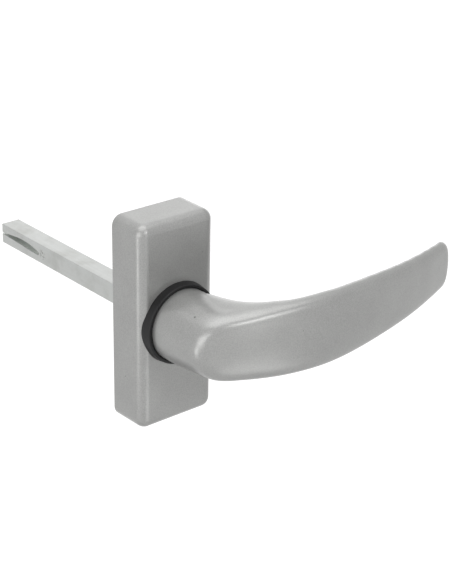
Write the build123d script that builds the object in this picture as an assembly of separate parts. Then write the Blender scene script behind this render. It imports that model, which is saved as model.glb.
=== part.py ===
from build123d import *
import os
from math import cos, radians, sin, sqrt

# Window handle with a rectangular rosette and a square spindle.
# Millimetres. The origin is the centre of the rosette's back, which lies on the sash.
# +Y runs into the sash along the spindle, -Y towards the hand, +X along the lever, +Z up.

# Sash interface
screw_spacing = 43.0
screw_hole_r = 2.65
screw_head_r = 5.1
spindle_width = 7.0
spindle_reach = 81.5

# Cover
cover_width = 29.1
cover_height = 69.1
cover_depth = 14.3
cover_draft = 0.6
cover_corner_r = 3.6
cover_edge_r = 3.2
cover_wall = 2.2
cover_front_wall = 3.0
cover_rim_r = 0.25
rib_r = 0.8
rib_proud = 0.2
rib_rows = (-24.0, 0.0, 24.0)

# Lever neck
neck_r = 11.9
neck_waist_r = 11.0
neck_straight_to = 20.0
neck_waist_at = 38.0
# The web that blends neck and blade: distance from the sash, middle and reach along X,
# half height, squareness
web_back = 6.5
web_rows = (
    (18.0, 3.0, 11.0, 10.8, 2.0),
    (20.5, 3.0, 11.6, 11.0, 2.0),
    (22.5, 3.1, 11.95, 11.15, 2.2),
    (25.0, 3.4, 12.2, 11.2, 2.35),
    (27.5, 3.9, 12.7, 11.25, 2.5),
    (30.0, 4.6, 13.5, 11.3, 2.6),
    (32.5, 5.5, 14.8, 11.4, 2.7),
    (35.0, 6.8, 17.0, 11.5, 2.8),
    (37.2, 8.2, 20.0, 11.6, 2.9),
    (39.0, 9.5, 24.0, 11.7, 3.0),
    (40.5, 11.0, 29.0, 11.8, 3.0),
)

# Lever blade, one row a station: distance along X, outer face, inner face (both from the sash)
blade_rows = (
    (-16.0, 33.6, 25.6),
    (0.0, 42.9, 32.6),
    (13.4, 47.2, 37.0),
    (31.3, 49.8, 41.0),
    (53.7, 47.9, 40.2),
    (76.1, 43.5, 37.1),
    (100.2, 35.6, 30.7),
    (106.0, 33.4, 28.8),
)
# Half the height of the blade at distances along X
blade_heights = (
    (0.0, 11.0),
    (5.0, 11.4),
    (13.4, 12.0),
    (31.3, 12.1),
    (53.7, 11.3),
    (76.1, 9.9),
)
tip_at = 100.2
tip_half_height = 8.2
tip_corner_r = 4.5
tip_bulge = 1.3
face_crown = 1.2
back_crown = 3.0
face_edge_r = 3.4

# Lever spigot, inside the rosette
running_fit = 0.05
spigot_square = 12.4
spigot_r = 6.2
spigot_end = 0.3
socket_end = 26.0
socket_fit = 0.03
pin_r = 1.25
pin_length = 22.0
pin_at = 10.6
pin_wall = 0.45

# Guide ring
ring_wall = 1.5
ring_fit = 0.1
ring_outer_r = neck_r + ring_fit + ring_wall
ring_stand = 2.7
ring_sink = 1.4
ring_draft = 0.35
ring_rim_r = 0.4

# Base plate
base_gap = 0.25
base_floor = 3.0
turret_wall = 2.0
pocket_gap = 0.1603
bearing_face = 4.6
bearing_back = 2.2
recess_r = 9.4

# Detent
hub_wall = 1.97
hub_fit = 0.03
hub_width = spigot_square + 2 * (hub_fit + hub_wall)
hub_corner_r = 4.0
hub_height = 4.2
spring_thickness = 0.4
spring_width = 3.4
spring_length = 16.4
spring_fit = 0.02
spring_travel = 2.3
# The round pocket clears the hub's corners as the lever turns
pocket_r = sqrt(2) * (hub_width / 2 - hub_corner_r) + hub_corner_r + pocket_gap
turret_r = pocket_r + turret_wall

# Axial lock of the lever
washer_thickness = 0.5
washer_r = 8.8
lock_thickness = 0.8
lock_outer_r = 8.2
lock_groove_r = 5.5
lock_gap_angle = 60.0

# Split end of the spindle, seen from the side: distance from the sash, top and bottom of the slot
slot_top = (
    (57.9, 0.1),
    (62.0, 1.05),
    (66.0, 1.5),
    (70.0, 1.5),
    (74.0, 1.1),
    (78.0, 0.6),
    (81.7, 0.45),
)
slot_bottom = (
    (57.9, -0.95),
    (62.0, -1.05),
    (66.0, -0.8),
    (70.0, -0.6),
    (74.0, -0.45),
    (78.0, -0.3),
    (81.7, -0.3),
)
spindle_edge_r = 0.3
spindle_end_chamfer = 0.8

# Sizes that follow
hub_bottom = bearing_face + running_fit
hub_top = hub_bottom + hub_height
shoulder = hub_top + running_fit
cavity_front = cover_depth - cover_front_wall
ring_seat = cover_depth - ring_sink
ring_front = cover_depth + ring_stand
washer_front = bearing_back - running_fit
lock_front = washer_front - washer_thickness
far_out = 60.0


def disc(r, y_from, y_to):
    """A cylinder along Y, between two distances in front of the sash."""
    face = Plane.XZ.offset(y_from) * Circle(r)
    return extrude(face, amount=y_to - y_from)


def block(width, height, y_from, y_to, x=0.0, z=0.0, r=0.0):
    """A block, or one with rounded corners, between two distances in front of the sash."""
    outline = RectangleRounded(width, height, r) if r else Rectangle(width, height)
    face = Plane.XZ.offset(y_from) * Pos(x, z) * outline
    return extrude(face, amount=y_to - y_from)


def edges_near(shape, points):
    """The edge whose centre lies nearest to each point."""
    picked = []
    for point in points:
        here = Vector(*point)
        picked.append(min(shape.edges(), key=lambda e: (e.center() - here).length))
    return picked


def edges_round(shape, point):
    """The edges round the face whose centre lies nearest to a point."""
    here = Vector(*point)
    face = min(shape.faces(), key=lambda f: (f.center() - here).length)
    return face.edges()


def swept_along(rows, crown, half, depth, side):
    """A profile with one crowned side, swept along a line seen from above."""
    line = Edge.make_spline([Vector(x, -distance, 0) for x, distance in rows])
    start = Plane(origin=line @ 0, z_dir=line % 0, x_dir=(0, 0, 1))
    rise = side * crown * (half / blade_heights[2][1]) ** 2
    with BuildSketch(start) as sketch:
        with BuildLine():
            ThreePointArc((-half, rise), (0, 0), (half, rise))
            Polyline((half, rise), (half, -depth), (-half, -depth), (-half, rise))
        make_face()
    return sweep(sketch.sketch, path=Wire([line]))


def blade_outline():
    """The blade seen from the room."""
    upper = list(blade_heights) + [(tip_at, tip_half_height)]
    lower = [(x, -z) for x, z in reversed(upper)]
    with BuildSketch(Plane.XZ) as sketch:
        with BuildLine():
            Spline(*upper, tangents=[(1, 0.1), (1, -0.09)])
            ThreePointArc(upper[-1], (tip_at + tip_bulge, 0), lower[0])
            Spline(*lower, tangents=[(-1, -0.09), (-1, 0.1)])
            Line(lower[-1], upper[0])
        make_face()
    return sketch.sketch


def make_neck():
    """The turned neck, with a slight waist before the blade."""
    with BuildSketch(Plane.XY) as sketch:
        with BuildLine():
            Polyline((0, -shoulder), (neck_r, -shoulder), (neck_r, -neck_straight_to))
            Spline(
                (neck_r, -neck_straight_to),
                (neck_waist_r + 0.35, -28.0),
                (neck_waist_r, -neck_waist_at),
                tangents=[(0, -1), (0, -1)],
            )
            Polyline(
                (neck_waist_r, -neck_waist_at),
                (neck_waist_r, -far_out),
                (0, -far_out),
                (0, -shoulder),
            )
        make_face()
    return revolve(sketch.sketch, axis=Axis.Y)


def make_web():
    """The flared web between the neck and the back of the blade, round first and then squarer."""
    sections = []
    for distance, centre, reach, r, squareness in web_rows:
        side = []
        for degrees in range(80, -81, -20):
            c = cos(radians(degrees))
            d = sin(radians(degrees))
            x = centre + (reach - centre) * c ** (2 / squareness)
            z = r * abs(d) ** (2 / squareness) * (1 if d > 0 else -1)
            side.append((x, z))
        with BuildSketch(Plane.XZ.offset(distance)) as sketch:
            with BuildLine():
                EllipticalCenterArc(
                    (centre, 0), centre + web_back, r, start_angle=90, arc_size=180
                )
                Spline((centre, r), *side, (centre, -r), tangents=[(1, 0), (-1, 0)])
            make_face()
        sections.append(sketch.sketch)
    return loft(sections)


def make_lever():
    """Cast lever: neck, blade, and the spigot that turns in the base plate."""
    face_line = [(x, outer) for x, outer, inner in blade_rows]
    back_line = [(x, inner) for x, outer, inner in blade_rows]
    behind_face = swept_along(face_line, face_crown, 15.0, 30.0, -1)
    behind_face += disc(neck_r + 3.0, 0, 33.0)
    behind_back = swept_along(back_line, back_crown, 15.0, 32.0, 1)
    blade = extrude(blade_outline(), amount=far_out) - behind_back
    body = (make_neck() + make_web() + blade) & behind_face
    body = body & block(300, 60, shoulder, far_out)
    body = body.fillet(tip_corner_r, edges_near(body, [(tip_at, -32.5, z) for z in (8, -8)]))
    body = body.fillet(face_edge_r, edges_round(body, (48, -47.5, 0)))
    spigot = block(spigot_square, spigot_square, hub_bottom, shoulder, r=1.0)
    spigot += disc(spigot_r, spigot_end, hub_bottom)
    groove = disc(spigot_r + 1, lock_front - lock_thickness - 0.02, lock_front + 0.02)
    groove -= disc(lock_groove_r, 0, bearing_face)
    body = body + spigot - groove
    socket_width = spindle_width + 2 * socket_fit
    body -= block(socket_width, socket_width, 0, socket_end, r=spindle_edge_r)
    pin_hole = Plane.XY * Pos(0, -pin_at, 0) * Cylinder(pin_r, 2 * neck_r + 2)
    return body - pin_hole


def make_spindle():
    """Square bar with a cross hole for the pin and a split, sprung end."""
    inner_end = socket_end - 0.5
    bar = block(spindle_width, spindle_width, -spindle_reach, inner_end)
    end_face = bar.faces().sort_by(Axis.Y)[-1]
    bar = bar.chamfer(spindle_end_chamfer, None, end_face.edges())
    start_face = bar.faces().sort_by(Axis.Y)[0]
    bar = bar.chamfer(spindle_edge_r, None, start_face.edges())
    bar = bar.fillet(spindle_edge_r, bar.edges().filter_by(Axis.Y))
    with BuildSketch(Plane.YZ) as sketch:
        with BuildLine():
            Spline(*slot_top)
            Line(slot_top[-1], slot_bottom[-1])
            Spline(*reversed(slot_bottom))
            Line(slot_bottom[0], slot_top[0])
        make_face()
    bar -= extrude(sketch.sketch, amount=spindle_width, both=True)
    return bar - Plane.XY * Pos(0, -pin_at, 0) * Cylinder(pin_r, 2 * spindle_width)


def make_cross_pin():
    """Slotted spring pin that locks the spindle in the neck."""
    tube = Cylinder(pin_r, pin_length) - Cylinder(pin_r - pin_wall, pin_length)
    tube -= Pos(pin_r, 0, 0) * Box(2 * pin_r, 0.5, pin_length)
    return Pos(0, -pin_at, 0) * tube


def make_cover():
    """Cast cap with drafted walls, a counterbored neck hole and ribs that grip the base."""
    outer = RectangleRounded(cover_width, cover_height, cover_corner_r)
    cap = extrude(Plane.XZ * outer, amount=cover_depth, taper=cover_draft)
    cap = cap.fillet(cover_edge_r, cap.faces().sort_by(Axis.Y)[0].edges())
    cap = cap.fillet(cover_rim_r, cap.faces().sort_by(Axis.Y)[-1].edges())
    inner_w = cover_width - 2 * cover_wall
    inner_h = cover_height - 2 * cover_wall
    inner = RectangleRounded(inner_w, inner_h, cover_corner_r - cover_wall)
    cavity = extrude(Plane.XZ * inner, amount=cavity_front, taper=cover_draft)
    cavity = cavity.fillet(1.0, cavity.faces().sort_by(Axis.Y)[0].edges())
    cap -= cavity
    for row in rib_rows:
        for side in (-1, 1):
            x = side * (inner_w / 2 + rib_r - rib_proud)
            rib = Plane.XZ.offset(0.6) * Pos(x, row) * Circle(rib_r)
            cap += extrude(rib, amount=base_floor + 1.0) - block(
                40, 80, 0, 20, x=side * (cover_width / 2 - cover_wall / 2 + 20)
            )
    cap -= disc(neck_r + ring_fit + 0.05, 0, cover_depth + 1)
    return cap - disc(ring_outer_r + 0.02, ring_seat, cover_depth + 1)


def make_guide_ring():
    """Plastic collar pressed into the cover; the cover slides on it along the neck."""
    with BuildSketch(Plane.XY) as sketch:
        with BuildLine():
            Polyline(
                (neck_r + ring_fit, -ring_seat),
                (ring_outer_r, -ring_seat),
                (ring_outer_r, -cover_depth),
                (ring_outer_r - ring_draft, -ring_front),
                (neck_r + ring_fit, -ring_front),
                (neck_r + ring_fit, -ring_seat),
            )
        make_face()
    ring = revolve(sketch.sketch, axis=Axis.Y)
    return ring.fillet(ring_rim_r, ring.faces().sort_by(Axis.Y)[0].edges())


def make_base_plate():
    """Moulded plate with two screw holes, and a round turret for the bearing and the detent."""
    width = cover_width - 2 * cover_wall - 2 * base_gap
    height = cover_height - 2 * cover_wall - 2 * base_gap
    plate = block(width, height, 0, base_floor, r=1.6)
    plate = plate.chamfer(0.4, None, plate.faces().sort_by(Axis.Y)[0].edges())
    turret_top = hub_bottom + spring_width + 0.25
    plate += disc(turret_r, 0, turret_top) & block(width, width + 1, 0, turret_top)
    plate -= disc(pocket_r, bearing_face, turret_top)
    spring_x = hub_width / 2 + spring_fit + spring_thickness / 2
    slot = spring_thickness + 2 * spring_fit
    for side in (-1, 1):
        plate -= block(slot, spring_length + 0.1, hub_bottom, turret_top, x=side * spring_x)
        room = side * (spring_x + spring_travel / 2)
        plate -= block(spring_travel, 11.0, bearing_face, turret_top, x=room, r=0.6)
        z = side * screw_spacing / 2
        plate -= Pos(0, 0, z) * disc(screw_hole_r, -1, base_floor + 1)
        depth = screw_head_r - screw_hole_r
        sink = Rot(90, 0, 0) * Cone(screw_hole_r, screw_head_r, depth)
        plate -= Pos(0, depth / 2 - base_floor, z) * sink
    plate -= disc(spigot_r + running_fit, -1, bearing_face + 1)
    return plate - disc(recess_r, -1, bearing_back)


def make_detent_hub():
    """Square hub with rounded corners, keyed to the spigot; its flats give the stops."""
    hub = block(hub_width, hub_width, hub_bottom, hub_top, r=hub_corner_r)
    bore = spigot_square + 2 * hub_fit
    return hub - block(bore, bore, hub_bottom, hub_top, r=0.9)


def make_leaf_spring(side):
    """Flat strip held by its ends in two posts, flat against the hub."""
    x = side * (hub_width / 2 + spring_fit + spring_thickness / 2)
    strip = block(spring_thickness, spring_length, hub_bottom, hub_bottom + spring_width, x=x)
    return strip.fillet(0.8, strip.edges().filter_by(Axis.X))


def make_washer():
    ring = disc(washer_r, lock_front, washer_front)
    return ring - disc(spigot_r + running_fit, lock_front, washer_front)


def make_lock_ring():
    """Open ring sprung into the groove of the spigot."""
    front = lock_front
    back = lock_front - lock_thickness
    ring = disc(lock_outer_r, back, front) - disc(lock_groove_r + 0.02, back, front)
    half = radians(lock_gap_angle / 2)
    reach = 12.0
    with BuildSketch(Plane.XZ) as sketch:
        with BuildLine():
            Polyline(
                (0, 0),
                (reach * sin(half), -reach * cos(half)),
                (-reach * sin(half), -reach * cos(half)),
                (0, 0),
            )
        make_face()
    return ring - extrude(sketch.sketch, amount=bearing_face)


pieces = {
    "base_plate": make_base_plate(),
    "cover": make_cover(),
    "guide_ring": make_guide_ring(),
    "lever": make_lever(),
    "spindle": make_spindle(),
    "cross_pin": make_cross_pin(),
    "detent_hub": make_detent_hub(),
    "leaf_spring_left": make_leaf_spring(-1),
    "leaf_spring_right": make_leaf_spring(1),
    "thrust_washer": make_washer(),
    "lock_ring": make_lock_ring(),
}

os.makedirs("parts", exist_ok=True)
for name, solid in pieces.items():
    export_step(solid, f"parts/{name}.step")
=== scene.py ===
import math

import bpy
import numpy as np
from mathutils import Matrix, Vector


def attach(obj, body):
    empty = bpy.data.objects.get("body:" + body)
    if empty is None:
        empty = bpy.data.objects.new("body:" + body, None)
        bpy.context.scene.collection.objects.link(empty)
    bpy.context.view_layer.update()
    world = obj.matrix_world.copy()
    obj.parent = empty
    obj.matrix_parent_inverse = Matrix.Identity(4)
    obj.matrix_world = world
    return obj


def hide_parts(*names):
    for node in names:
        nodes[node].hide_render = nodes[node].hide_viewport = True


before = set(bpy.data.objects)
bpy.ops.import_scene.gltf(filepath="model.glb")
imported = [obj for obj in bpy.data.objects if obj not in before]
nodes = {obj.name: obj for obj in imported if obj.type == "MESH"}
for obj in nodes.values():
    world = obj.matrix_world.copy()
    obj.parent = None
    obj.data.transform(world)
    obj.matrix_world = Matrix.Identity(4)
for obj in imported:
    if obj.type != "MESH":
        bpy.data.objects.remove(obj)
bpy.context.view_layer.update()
print("frame loaded")

bumpDistance = 0.0001  # metres, the height of every fine relief


# Node helpers

def newMaterial(name):
    material = bpy.data.materials.new(name)
    material.use_nodes = True
    tree = material.node_tree
    tree.nodes.clear()
    output = tree.nodes.new("ShaderNodeOutputMaterial")
    shader = tree.nodes.new("ShaderNodeBsdfPrincipled")
    tree.links.new(shader.outputs["BSDF"], output.inputs["Surface"])
    return material, tree, shader


def addNode(tree, kind, values=None, **attributes):
    node = tree.nodes.new(kind)
    for key, value in attributes.items():
        setattr(node, key, value)
    for key, value in (values or {}).items():
        node.inputs[key].default_value = value
    return node


def objectPoint(tree, scale=(1, 1, 1)):
    point = addNode(tree, "ShaderNodeTexCoord")
    stretch = addNode(tree, "ShaderNodeMapping")
    stretch.inputs["Scale"].default_value = scale
    tree.links.new(point.outputs["Object"], stretch.inputs["Vector"])
    return stretch.outputs["Vector"]


def noise(tree, vector, scale, detail=2.0, roughness=0.5):
    values = {"Scale": scale, "Detail": detail, "Roughness": roughness}
    grain = addNode(tree, "ShaderNodeTexNoise", values)
    tree.links.new(vector, grain.inputs["Vector"])
    return grain.outputs["Fac"]


def ramp(tree, value, low, high, fromLow=0.3, fromHigh=0.7):
    values = {"From Min": fromLow, "From Max": fromHigh, "To Min": low, "To Max": high}
    spread = addNode(tree, "ShaderNodeMapRange", values)
    tree.links.new(value, spread.inputs["Value"])
    return spread.outputs["Result"]


def mixColors(tree, factor, first, second):
    mix = addNode(tree, "ShaderNodeMix", data_type="RGBA")
    tree.links.new(factor, mix.inputs["Factor"])
    for socket, color in ((mix.inputs["A"], first), (mix.inputs["B"], second)):
        if isinstance(color, tuple):
            socket.default_value = color
        else:
            tree.links.new(color, socket)
    return mix.outputs["Result"]


def combined(tree, kind, first, second):
    node = addNode(tree, "ShaderNodeMath", operation=kind)
    tree.links.new(first, node.inputs[0])
    tree.links.new(second, node.inputs[1])
    return node.outputs[0]


def around(tree, point, centre, inner, outer):
    # 1 inside a small sphere in object space, fading to 0 at its outer radius
    gap = addNode(tree, "ShaderNodeVectorMath", {1: centre}, operation="DISTANCE")
    tree.links.new(point, gap.inputs[0])
    return ramp(tree, gap.outputs["Value"], 1, 0, inner, outer)


def bump(tree, shader, height, strength):
    relief = addNode(tree, "ShaderNodeBump", {"Strength": strength, "Distance": bumpDistance})
    tree.links.new(height, relief.inputs["Height"])
    tree.links.new(relief.outputs["Normal"], shader.inputs["Normal"])


def uneven(tree, shader, value, middle, below, above):
    # Roughness that wanders round its middle value
    tree.links.new(ramp(tree, value, middle - below, middle + above), shader.inputs["Roughness"])


def dress(node, material):
    mesh = nodes[node].data
    mesh.materials.clear()
    mesh.materials.append(material)


# Silver powder coat: a satin grey with fine metal flakes and a slight orange peel

silverPaint = {
    "color": (0.277, 0.278, 0.273, 1),
    "flakeColor": (0.325, 0.326, 0.32, 1),
    "flakeScale": 2600,
    "metallic": 0.5,
    "roughness": 0.33,
    "roughSpread": 0.03,
    "roughScale": 60,
    "peelScale": 900,
    "peelStrength": 0.12,
    "cloudScale": 90,
    "cloudSpread": 0.04,
    "pitColor": (0.12, 0.12, 0.115, 1),
    "pitCore": 0.4,  # share of a pit's radius that is fully dark
    # Small pits in the casting: centre and radius
    "leverPits": (
        ((-0.0062, -0.0303, 0.0093), 0.00042),
        ((0.0075, -0.0448, 0.0091), 0.0003),
        ((0.0215, -0.0485, 0.0035), 0.00022),
        ((0.0560, -0.0478, -0.0040), 0.00024),
    ),
    "coverPits": (
        ((0.0095, -0.0143, 0.0212), 0.0002),
        ((-0.0145, -0.0061, -0.0178), 0.00025),
    ),
}


def silverMaterial(name, pits):
    material, tree, shader = newMaterial(name)
    point = objectPoint(tree)
    flakes = ramp(tree, noise(tree, point, silverPaint["flakeScale"], 1.0), 0, 1)
    color = mixColors(tree, flakes, silverPaint["color"], silverPaint["flakeColor"])
    cloud = noise(tree, point, silverPaint["cloudScale"], 3.0)
    cloud = ramp(tree, cloud, 1 - silverPaint["cloudSpread"], 1 + silverPaint["cloudSpread"])
    shade = addNode(tree, "ShaderNodeVectorMath", operation="SCALE")
    tree.links.new(color, shade.inputs[0])
    tree.links.new(cloud, shade.inputs["Scale"])
    color = shade.outputs["Vector"]
    height = noise(tree, point, silverPaint["peelScale"], 2.0)
    for centre, radius in pits:
        mask = around(tree, point, centre, radius * silverPaint["pitCore"], radius)
        color = mixColors(tree, mask, color, silverPaint["pitColor"])
        height = combined(tree, "SUBTRACT", height, mask)
    tree.links.new(color, shader.inputs["Base Color"])
    shader.inputs["Metallic"].default_value = silverPaint["metallic"]
    spread = silverPaint["roughSpread"]
    grain = noise(tree, point, silverPaint["roughScale"], 2.0)
    uneven(tree, shader, grain, silverPaint["roughness"], spread, spread)
    bump(tree, shader, height, silverPaint["peelStrength"])
    return material


# The casting's soft edges: a fine remesh of the CAD lever, smoothed along the blade and the web

castLever = {
    "voxel": 0.0004,
    "pull": 0.6,  # how far a point moves towards its neighbours in each pass
    "passes": 25,
    "fromNeck": 0.020,  # distance from the sash where the smoothing starts
    "toWeb": 0.027,  # and where it is full
    "tipFrom": 0.060,  # place along the blade where it begins to weaken
    "tipTo": 0.100,
    "tipShare": 0.15,
    "facePasses": 80,
    # The outer face: its distance from the sash at some places along the blade
    "faceAlong": (-0.016, 0.0, 0.0134, 0.0313, 0.0537, 0.0761, 0.1002),
    "faceOut": (0.0336, 0.0429, 0.0472, 0.0498, 0.0479, 0.0435, 0.0356),
    "faceDepth": 0.0045,  # thickness of the skin that gets the extra passes
    "faceFade": 0.0035,
    # Share of the blade's height that is given back after the smoothing
    "fullerAlong": (0.004, 0.020, 0.036, 0.060, 0.100),
    "fuller": (0.0, 0.018, 0.050, 0.058, 0.060),
}


def remeshed(source, name, voxel):
    rough = bpy.data.objects.new(name + "Rough", source.data.copy())
    bpy.context.collection.objects.link(rough)
    change = rough.modifiers.new("voxels", "REMESH")
    change.mode = "VOXEL"
    change.voxel_size = voxel
    change.use_smooth_shade = True
    graph = bpy.context.evaluated_depsgraph_get()
    mesh = bpy.data.meshes.new_from_object(rough.evaluated_get(graph))
    mesh.name = name
    bpy.data.objects.remove(rough)
    made = bpy.data.objects.new(name, mesh)
    bpy.context.collection.objects.link(made)
    return made


def readPoints(mesh):
    points = np.empty(len(mesh.vertices) * 3)
    mesh.vertices.foreach_get("co", points)
    return points.reshape(-1, 3)


def writePoints(mesh, points):
    mesh.vertices.foreach_set("co", points.reshape(-1))
    mesh.update()


def rising(values, start, end):
    return np.clip((values - start) / (end - start), 0, 1)


def smoothed(mesh, passes, share):
    points = readPoints(mesh)
    count = len(points)
    ends = np.empty(len(mesh.edges) * 2, dtype=np.int64)
    mesh.edges.foreach_get("vertices", ends)
    first, second = ends[0::2], ends[1::2]
    degree = np.bincount(first, minlength=count) + np.bincount(second, minlength=count)
    step = (castLever["pull"] * share(points))[:, None]
    for turn in range(passes):
        total = np.zeros_like(points)
        for axis in range(3):
            total[:, axis] += np.bincount(first, points[second, axis], count)
            total[:, axis] += np.bincount(second, points[first, axis], count)
        points += step * (total / degree[:, None] - points)
    writePoints(mesh, points)


def towardsTip(points):
    # Full on the first part of the blade, and less on the thin tip
    along = rising(points[:, 0], castLever["tipFrom"], castLever["tipTo"])
    return 1 - (1 - castLever["tipShare"]) * along


def leverShare(points):
    outward = rising(-points[:, 1], castLever["fromNeck"], castLever["toWeb"])
    return outward * towardsTip(points)


def faceShare(points):
    # Only the skin near the outer face
    out = np.interp(points[:, 0], castLever["faceAlong"], castLever["faceOut"])
    depth = out + points[:, 1]
    fadeEnd = castLever["faceDepth"] + castLever["faceFade"]
    return (1 - rising(depth, castLever["faceDepth"], fadeEnd)) * towardsTip(points)


def madeFuller(mesh):
    points = readPoints(mesh)
    points[:, 2] *= 1 + np.interp(points[:, 0], castLever["fullerAlong"], castLever["fuller"])
    writePoints(mesh, points)


leverPaint = silverMaterial("leverPaint", silverPaint["leverPits"])
lever = remeshed(nodes["lever"], "castLever", castLever["voxel"])
smoothed(lever.data, castLever["passes"], leverShare)
smoothed(lever.data, castLever["facePasses"], faceShare)
madeFuller(lever.data)
lever.data.materials.clear()
lever.data.materials.append(leverPaint)
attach(lever, "lever")
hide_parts("lever")
dress("lever", leverPaint)
dress("cover", silverMaterial("coverPaint", silverPaint["coverPits"]))
print("painted pieces dressed")


# Black plastic collar

blackPlastic = {
    "color": (0.011, 0.011, 0.0115, 1),
    "specular": 0.2,
    "roughness": 0.42,
    "roughSpread": 0.05,
    "roughScale": 200,
    "grainScale": 1500,
    "grainStrength": 0.08,
}


def collarMaterial():
    material, tree, shader = newMaterial("ringPlastic")
    shader.inputs["Base Color"].default_value = blackPlastic["color"]
    shader.inputs["Specular IOR Level"].default_value = blackPlastic["specular"]
    point = objectPoint(tree)
    spread = blackPlastic["roughSpread"]
    grain = noise(tree, point, blackPlastic["roughScale"], 2.0)
    uneven(tree, shader, grain, blackPlastic["roughness"], spread, spread)
    grain = noise(tree, point, blackPlastic["grainScale"])
    bump(tree, shader, grain, blackPlastic["grainStrength"])
    return material


dress("guide_ring", collarMaterial())


# Hidden plastics: the dark base plate and the pale hub

mouldedPlastic = {
    "baseColor": (0.06, 0.06, 0.063, 1),
    "baseRoughness": 0.55,
    "hubColor": (0.66, 0.64, 0.58, 1),
    "hubRoughness": 0.45,
    "roughSpread": 0.05,
    "roughScale": 120,
    "grainScale": 700,
    "grainStrength": 0.15,
}


def mouldedMaterial(name, color, roughness):
    material, tree, shader = newMaterial(name)
    point = objectPoint(tree)
    shader.inputs["Base Color"].default_value = color
    spread = mouldedPlastic["roughSpread"]
    grain = noise(tree, point, mouldedPlastic["roughScale"], 3.0)
    uneven(tree, shader, grain, roughness, spread, spread)
    grain = noise(tree, point, mouldedPlastic["grainScale"], 2.0)
    bump(tree, shader, grain, mouldedPlastic["grainStrength"])
    return material


for node, part in (("base_plate", "base"), ("detent_hub", "hub")):
    color, roughness = mouldedPlastic[part + "Color"], mouldedPlastic[part + "Roughness"]
    dress(node, mouldedMaterial(part + "Plastic", color, roughness))


# Bright zinc on the drawn spindle, with painted bounce light in its slot

zinc = {
    "color": (0.44, 0.45, 0.44, 1),
    "cloudColor": (0.36, 0.365, 0.35, 1),
    "cloudScale": 140,
    "cloudFrom": 0.45,
    "cloudTo": 0.75,
    "stainColor": (0.2, 0.2, 0.185, 1),
    "stainAt": (-0.0035, 0.0558, 0.0),
    "stainCore": 0.0008,
    "stainRadius": 0.0022,
    "speckleScale": 1100,
    "speckleFrom": 0.5,
    "speckleTo": 0.56,
    # Painted bounce light: a paler zinc for the slot's inside and the cut ends, standing in for
    # light thrown into the shaded slot
    "slotPaintedBounce": (0.6, 0.625, 0.6, 1),
    "slotInside": 0.0033,  # just under half of the square
    "lineScale": (1400, 12, 1400),  # stretched along the bar
    "lineStrength": 0.1,
    "metallic": 0.5,
    "roughness": 0.38,
    "smoother": 0.06,
    "rougher": 0.08,
}


def insideBar(tree):
    # 1 where a point lies deeper than the bar's four sides: in the slot and on the cut ends,
    # where painted bounce light lightens the zinc
    apart = addNode(tree, "ShaderNodeSeparateXYZ")
    tree.links.new(objectPoint(tree), apart.inputs[0])
    inside = []
    for axis in ("X", "Z"):
        size = addNode(tree, "ShaderNodeMath", operation="ABSOLUTE")
        tree.links.new(apart.outputs[axis], size.inputs[0])
        within = addNode(tree, "ShaderNodeMath", {1: zinc["slotInside"]}, operation="LESS_THAN")
        tree.links.new(size.outputs[0], within.inputs[0])
        inside.append(within.outputs[0])
    return combined(tree, "MULTIPLY", *inside)


def zincMaterial():
    material, tree, shader = newMaterial("spindleZinc")
    point = objectPoint(tree)
    drawn = noise(tree, objectPoint(tree, zinc["lineScale"]), 1.0, 3.0, 0.6)
    cloud = noise(tree, point, zinc["cloudScale"], 4.0, 0.6)
    cloud = ramp(tree, cloud, 0, 1, zinc["cloudFrom"], zinc["cloudTo"])
    color = mixColors(tree, cloud, zinc["color"], zinc["cloudColor"])
    speckle = noise(tree, point, zinc["speckleScale"], 2.0, 0.6)
    speckle = ramp(tree, speckle, 0, 1, zinc["speckleFrom"], zinc["speckleTo"])
    spot = around(tree, point, zinc["stainAt"], zinc["stainCore"], zinc["stainRadius"])
    stain = combined(tree, "MULTIPLY", speckle, spot)
    color = mixColors(tree, stain, color, zinc["stainColor"])
    # Painted bounce light: the slot's inside and the cut ends take the paler colour
    color = mixColors(tree, insideBar(tree), color, zinc["slotPaintedBounce"])
    tree.links.new(color, shader.inputs["Base Color"])
    shader.inputs["Metallic"].default_value = zinc["metallic"]
    uneven(tree, shader, drawn, zinc["roughness"], zinc["smoother"], zinc["rougher"])
    bump(tree, shader, drawn, zinc["lineStrength"])
    return material


dress("spindle", zincMaterial())


# Bare spring steel

springSteel = {
    "color": (0.5, 0.5, 0.49, 1),
    "metallic": 1.0,
    "roughness": 0.35,
    "roughSpread": 0.07,
    "roughScale": 300,
    "nodes": ("cross_pin", "leaf_spring_left", "leaf_spring_right", "thrust_washer", "lock_ring"),
}


def steelMaterial():
    material, tree, shader = newMaterial("springSteel")
    shader.inputs["Base Color"].default_value = springSteel["color"]
    shader.inputs["Metallic"].default_value = springSteel["metallic"]
    spread = springSteel["roughSpread"]
    grain = noise(tree, objectPoint(tree), springSteel["roughScale"], 3.0)
    uneven(tree, shader, grain, springSteel["roughness"], spread, spread)
    return material


steel = steelMaterial()
for node in springSteel["nodes"]:
    dress(node, steel)
print("materials done")


# Floor: white to the camera and in reflections, greyer as a surface that throws light back

floorValues = {
    "height": -0.125,
    "half": 8.0,
    "color": (0.4, 0.4, 0.4, 1),
    "roughness": 0.9,
    "glowColor": (1, 1, 1, 1),
    "glowNear": 0.66,
    "glowFar": 0.9,
    "glowFrom": 0.5,
    "glowTo": 2.0,
}


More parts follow.
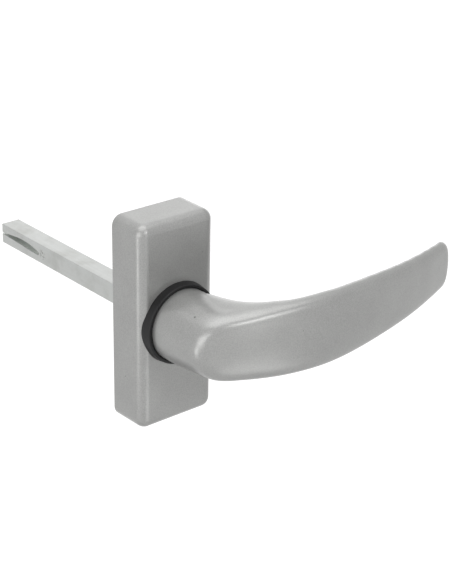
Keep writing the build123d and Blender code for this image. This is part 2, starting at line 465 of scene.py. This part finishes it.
def floorMaterial():
    material, tree, shader = newMaterial("floorWhite")
    shader.inputs["Base Color"].default_value = floorValues["color"]
    shader.inputs["Roughness"].default_value = floorValues["roughness"]
    shader.inputs["Emission Color"].default_value = floorValues["glowColor"]
    rays = addNode(tree, "ShaderNodeLightPath")
    seen = combined(tree, "MAXIMUM", rays.outputs["Is Camera Ray"], rays.outputs["Is Glossy Ray"])
    # The lamps fade outwards, so the glow grows with the distance from the object
    middle = (0, 0, 0)
    near = around(tree, objectPoint(tree), middle, floorValues["glowFrom"], floorValues["glowTo"])
    glow = ramp(tree, near, floorValues["glowFar"], floorValues["glowNear"], 0, 1)
    glow = combined(tree, "MULTIPLY", glow, seen)
    tree.links.new(glow, shader.inputs["Emission Strength"])
    return material


half = floorValues["half"]
corners = [(-half, -half, 0), (half, -half, 0), (half, half, 0), (-half, half, 0)]
mesh = bpy.data.meshes.new("floor")
mesh.from_pydata(corners, [], [(0, 1, 2, 3)])
mesh.materials.append(floorMaterial())
floor = bpy.data.objects.new("floor", mesh)
floor.location = (0, 0, floorValues["height"])
bpy.context.collection.objects.link(floor)


# World: white to camera, glossy and transmission rays, dimmer as a lamp

worldValues = {"color": (1, 1, 1, 1), "whiteLevel": 1.0, "lampLevel": 0.4}

world = bpy.data.worlds.new("studio")
bpy.context.scene.world = world
world.use_nodes = True
tree = world.node_tree
tree.nodes.clear()
output = tree.nodes.new("ShaderNodeOutputWorld")
sky = addNode(tree, "ShaderNodeBackground", {"Color": worldValues["color"]})
rays = addNode(tree, "ShaderNodeLightPath")
seen = combined(tree, "MAXIMUM", rays.outputs["Is Camera Ray"], rays.outputs["Is Glossy Ray"])
seen = combined(tree, "MAXIMUM", seen, rays.outputs["Is Transmission Ray"])
level = ramp(tree, seen, worldValues["lampLevel"], worldValues["whiteLevel"], 0, 1)
tree.links.new(level, sky.inputs["Strength"])
tree.links.new(sky.outputs[0], output.inputs["Surface"])


# Lamps: place and size in metres, energy in watts, aimed at the frame's origin if not said

lamps = {
    "overhead": {"place": (0.0, 0.1, 1.2), "size": (1.4, 1.4), "energy": 10.6},
    "frontHigh": {"place": (0.1, -1.0, 0.67), "size": (0.4, 0.25), "energy": 2.5},
    "backTop": {"place": (0.9, 1.1, 0.7), "size": (0.9, 0.9), "energy": 1.4},
    "backFill": {
        "place": (0.9, 0.7, 0.0), "target": (0.02, -0.02, 0.0),
        "size": (0.9, 0.6), "energy": 1.5,
    },
    "frontStrip": {"place": (0.04, -0.6, -0.02), "size": (0.1, 0.2), "energy": 0.08},
    # Even light without a highlight of its own
    "leftKey": {
        "place": (-1.3, -0.3, 0.4), "size": (0.9, 0.9), "energy": 10.8, "highlight": False,
    },
    "frontFill": {
        "place": (0.1, -1.4, 0.3), "size": (0.9, 0.9), "energy": 3.2, "highlight": False,
    },
    # Pale cards that only show as highlights
    "leftCard": {
        "place": (-1.3, -0.3, 0.35), "size": (1.3, 0.8), "energy": 5.2, "spread": False,
    },
    "leftLowCard": {
        "place": (-0.27, -0.01, -0.118), "target": (-0.014, -0.012, 0.005),
        "size": (0.08, 0.2), "energy": 0.126, "spread": False,
    },
    "frontLowCard": {
        "place": (0.02, -0.17, -0.118), "target": (0.01, -0.044, -0.006),
        "size": (0.1, 0.04), "energy": 0.023, "spread": False,
    },
}


def softbox(name, place, size, energy, target=(0.0, 0.0, 0.0), highlight=True, spread=True):
    data = bpy.data.lights.new(name, "AREA")
    data.shape = "RECTANGLE"
    data.size, data.size_y = size
    data.energy = energy
    lamp = bpy.data.objects.new(name, data)
    lamp.location = place
    aim = (Vector(target) - Vector(place)).to_track_quat("-Z", "Y")
    lamp.rotation_euler = aim.to_euler()
    lamp.visible_camera = False
    lamp.visible_glossy = highlight
    lamp.visible_diffuse = spread
    bpy.context.collection.objects.link(lamp)


for name, values in lamps.items():
    softbox(name, **values)
print("floor, world and lamps done")


# Camera, fitted to the straight edges of the photograph

cameraValues = {
    "azimuth": -40.286,
    "elevation": 24.316,
    "roll": 1.005,
    "across": 0.024172,
    "up": 0.004602,
    "distance": 0.504824,
    "lens": 97.92,
    "sensor": 36,
    "clip": (0.01, 20),
}

azimuth = math.radians(cameraValues["azimuth"])
elevation = math.radians(cameraValues["elevation"])
roll = math.radians(cameraValues["roll"])
flat = math.cos(elevation)
ahead = Vector((-math.sin(azimuth) * flat, math.cos(azimuth) * flat, -math.sin(elevation)))
level = Vector((math.cos(azimuth), math.sin(azimuth), 0))
over = level.cross(ahead)
right = level * math.cos(roll) + over * math.sin(roll)
up = over * math.cos(roll) - level * math.sin(roll)
place = right * cameraValues["across"] + up * cameraValues["up"]
place -= ahead * cameraValues["distance"]
turn = Matrix((right, up, -ahead)).transposed().to_4x4()
lens = bpy.data.cameras.new("camera")
lens.lens = cameraValues["lens"]
lens.sensor_width = cameraValues["sensor"]
lens.clip_start, lens.clip_end = cameraValues["clip"]
camera = bpy.data.objects.new("camera", lens)
camera.matrix_world = Matrix.Translation(place) @ turn
bpy.context.collection.objects.link(camera)
bpy.context.scene.camera = camera
bpy.context.scene.view_settings.view_transform = "Standard"

print("camera done")
